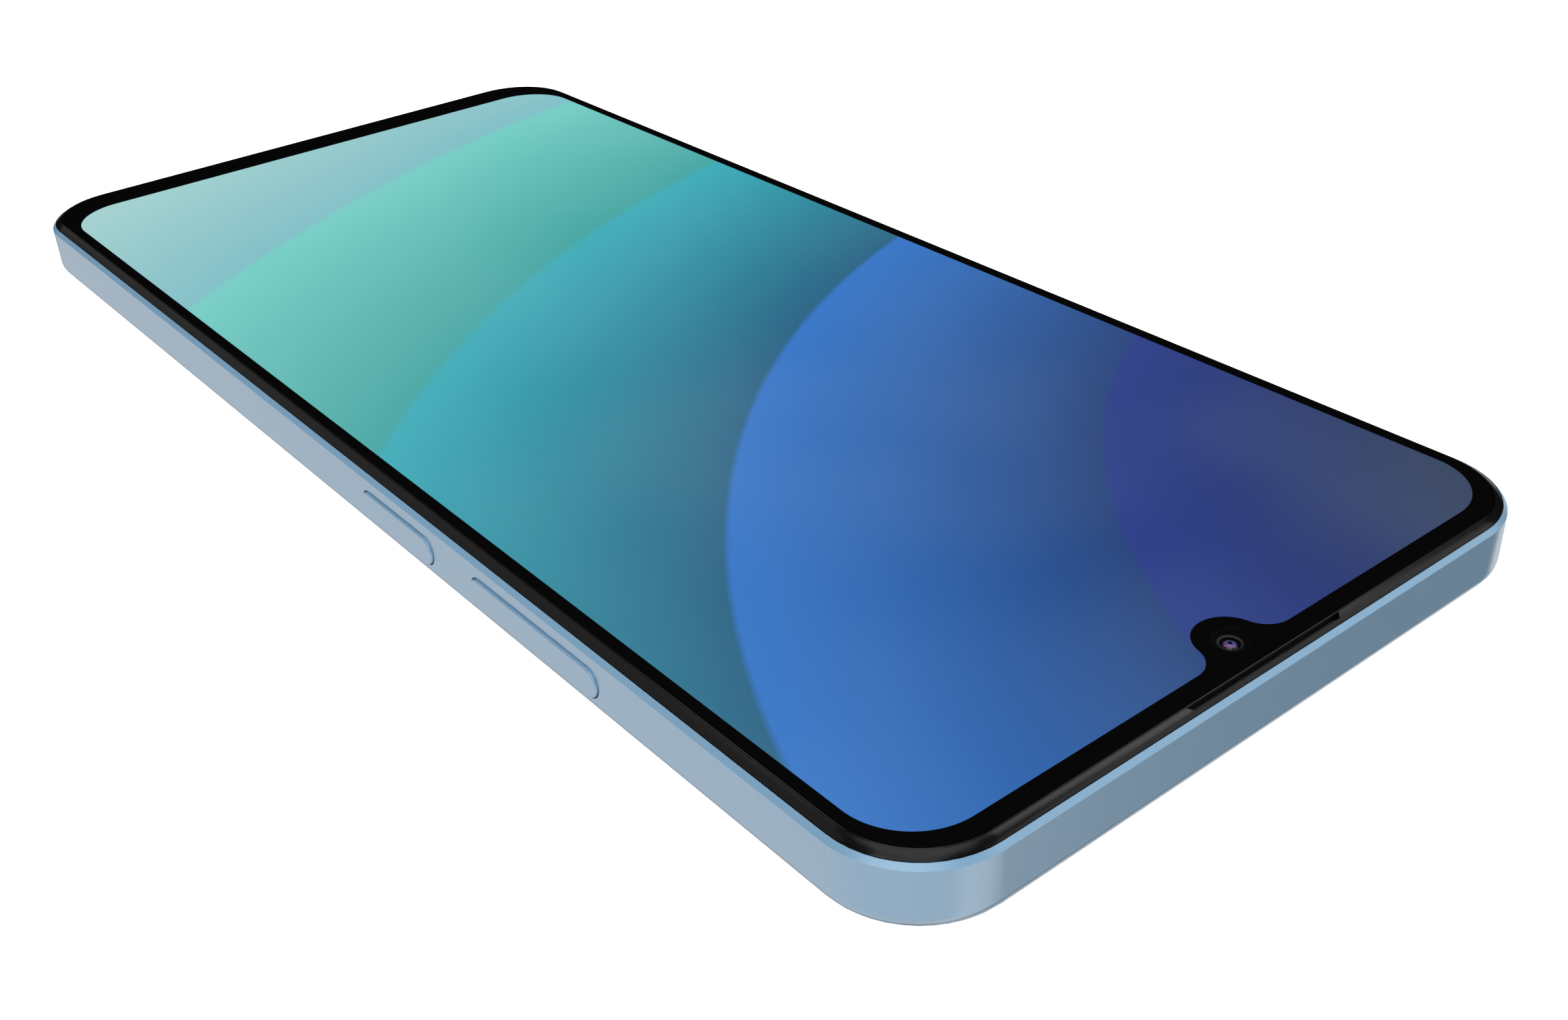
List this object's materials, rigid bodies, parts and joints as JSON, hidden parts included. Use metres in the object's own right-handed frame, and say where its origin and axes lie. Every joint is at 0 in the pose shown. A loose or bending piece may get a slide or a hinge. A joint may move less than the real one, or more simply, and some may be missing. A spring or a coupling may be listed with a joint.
{
  "type": "smartphone",
  "caption": "Touchscreen smartphone with a drop-notch front camera, side keys that press, a card tray that slides out, rear cameras, a charging socket and an audio jack.",
  "frame": {"origin": "under the middle of the body, on the plane of the rear camera rings, the lowest thing on it; the flat back is 1 mm above", "axes": "+Z out of the screen, +Y towards the top end with the front camera, +X towards the side with the keys"},
  "size_m": [0.077, 0.1674, 0.0088],
  "materials": {
    "cover_blue": "satin pale blue moulded plastic",
    "bezel_black": "satin near-black moulded plastic",
    "cover_glass": "polished glass over an opaque picture, modelled as a solid glossy face",
    "ink_black": "flat black ink",
    "clear_glue": "clear cured resin",
    "panel_glass": "dark laminated display glass",
    "diffuser_white": "white diffuser sheets",
    "sheet_steel": "thin pressed steel, fine brushed",
    "black_tape": "black foam adhesive tape",
    "flex_amber": "amber polyimide film with copper under it",
    "plate_metal": "die-cast light alloy, as cast",
    "graphite": "soft graphite film",
    "battery_foil": "dark laminated pouch foil",
    "adhesive_white": "white stretch adhesive strips",
    "board_green": "green solder mask over glass-fibre board",
    "chip_black": "black moulded chip package",
    "bracket_plastic": "black moulded plastic",
    "screw_steel": "dark plated steel",
    "ring_metal": "anodised pale blue metal, turned",
    "window_glass": "tinted glass, polished",
    "module_black": "black moulded lens housing",
    "lens_glass": "coated optical glass",
    "flash_clear": "clear moulded light guide",
    "led_yellow": "yellow phosphor chip",
    "mesh_grey": "fine woven metal mesh",
    "rubber_black": "soft moulded rubber",
    "key_blue": "satin pale blue moulded plastic",
    "tray_blue": "satin pale blue moulded plastic"
  },
  "bodies": {
    "root": {"rear_cover": "cover_blue", "front_bezel": "bezel_black", "cover_glass": "cover_glass", "border_mask": "ink_black", "clear_glue": "clear_glue", "display_panel": "panel_glass", "backlight_unit": "diffuser_white", "backlight_tray": "sheet_steel", "display_tape": "black_tape", "display_flex": "flex_amber", "midframe_plate": "plate_metal", "graphite_sheet": "graphite", "battery_cell": "battery_foil", "battery_adhesive": "adhesive_white", "battery_flex": "flex_amber", "main_board": "board_green", "processor_shield": "sheet_steel", "processor_chip": "chip_black", "radio_shield": "sheet_steel", "radio_chip": "chip_black", "memory_shield": "sheet_steel", "memory_chip": "chip_black", "upper_bracket": "bracket_plastic", "lower_bracket": "bracket_plastic", "bracket_screws": "screw_steel", "sub_board": "board_green", "board_link_flex": "flex_amber", "antenna_cable": "rubber_black", "main_camera_ring": "ring_metal", "main_camera_window": "window_glass", "main_camera_module": "module_black", "main_camera_lens": "lens_glass", "depth_camera_ring": "ring_metal", "depth_camera_window": "window_glass", "depth_camera_module": "module_black", "depth_camera_lens": "lens_glass", "flash_led": "led_yellow", "flash_lens": "flash_clear", "front_camera_module": "module_black", "front_camera_lens": "lens_glass", "proximity_sensor": "chip_black", "earpiece_receiver": "module_black", "earpiece_mesh": "mesh_grey", "loudspeaker_box": "bracket_plastic", "loudspeaker_mesh": "mesh_grey", "vibration_motor": "sheet_steel", "microphone": "sheet_steel", "microphone_gasket": "rubber_black", "usb_shell": "sheet_steel", "usb_tongue": "bracket_plastic", "headphone_jack": "bracket_plastic", "power_switch": "bracket_plastic", "volume_switches": "bracket_plastic", "side_key_flex": "flex_amber", "sim_reader": "sheet_steel"},
    "power_button": {"power_button": "key_blue"},
    "volume_rocker": {"volume_rocker": "key_blue"},
    "sim_tray": {"sim_tray": "tray_blue"}
  },
  "joints": [
    {"name": "power_press", "type": "slide", "parent": "root", "child": "power_button", "axis": [-1, 0, 0], "range_m": [0, 0.00025], "stiffness_N_per_m": 8000},
    {"name": "volume_rock", "type": "hinge", "parent": "root", "child": "volume_rocker", "pos_m": [0.0362, 0.0369, 0.00525], "axis": [0, 0, 1], "range_deg": [-1.2, 1.2], "stiffness_Nm_per_rad": 1.5},
    {"name": "tray_slide", "type": "slide", "parent": "root", "child": "sim_tray", "axis": [-1, 0, 0], "range_m": [0, 0.047]}
  ]
}
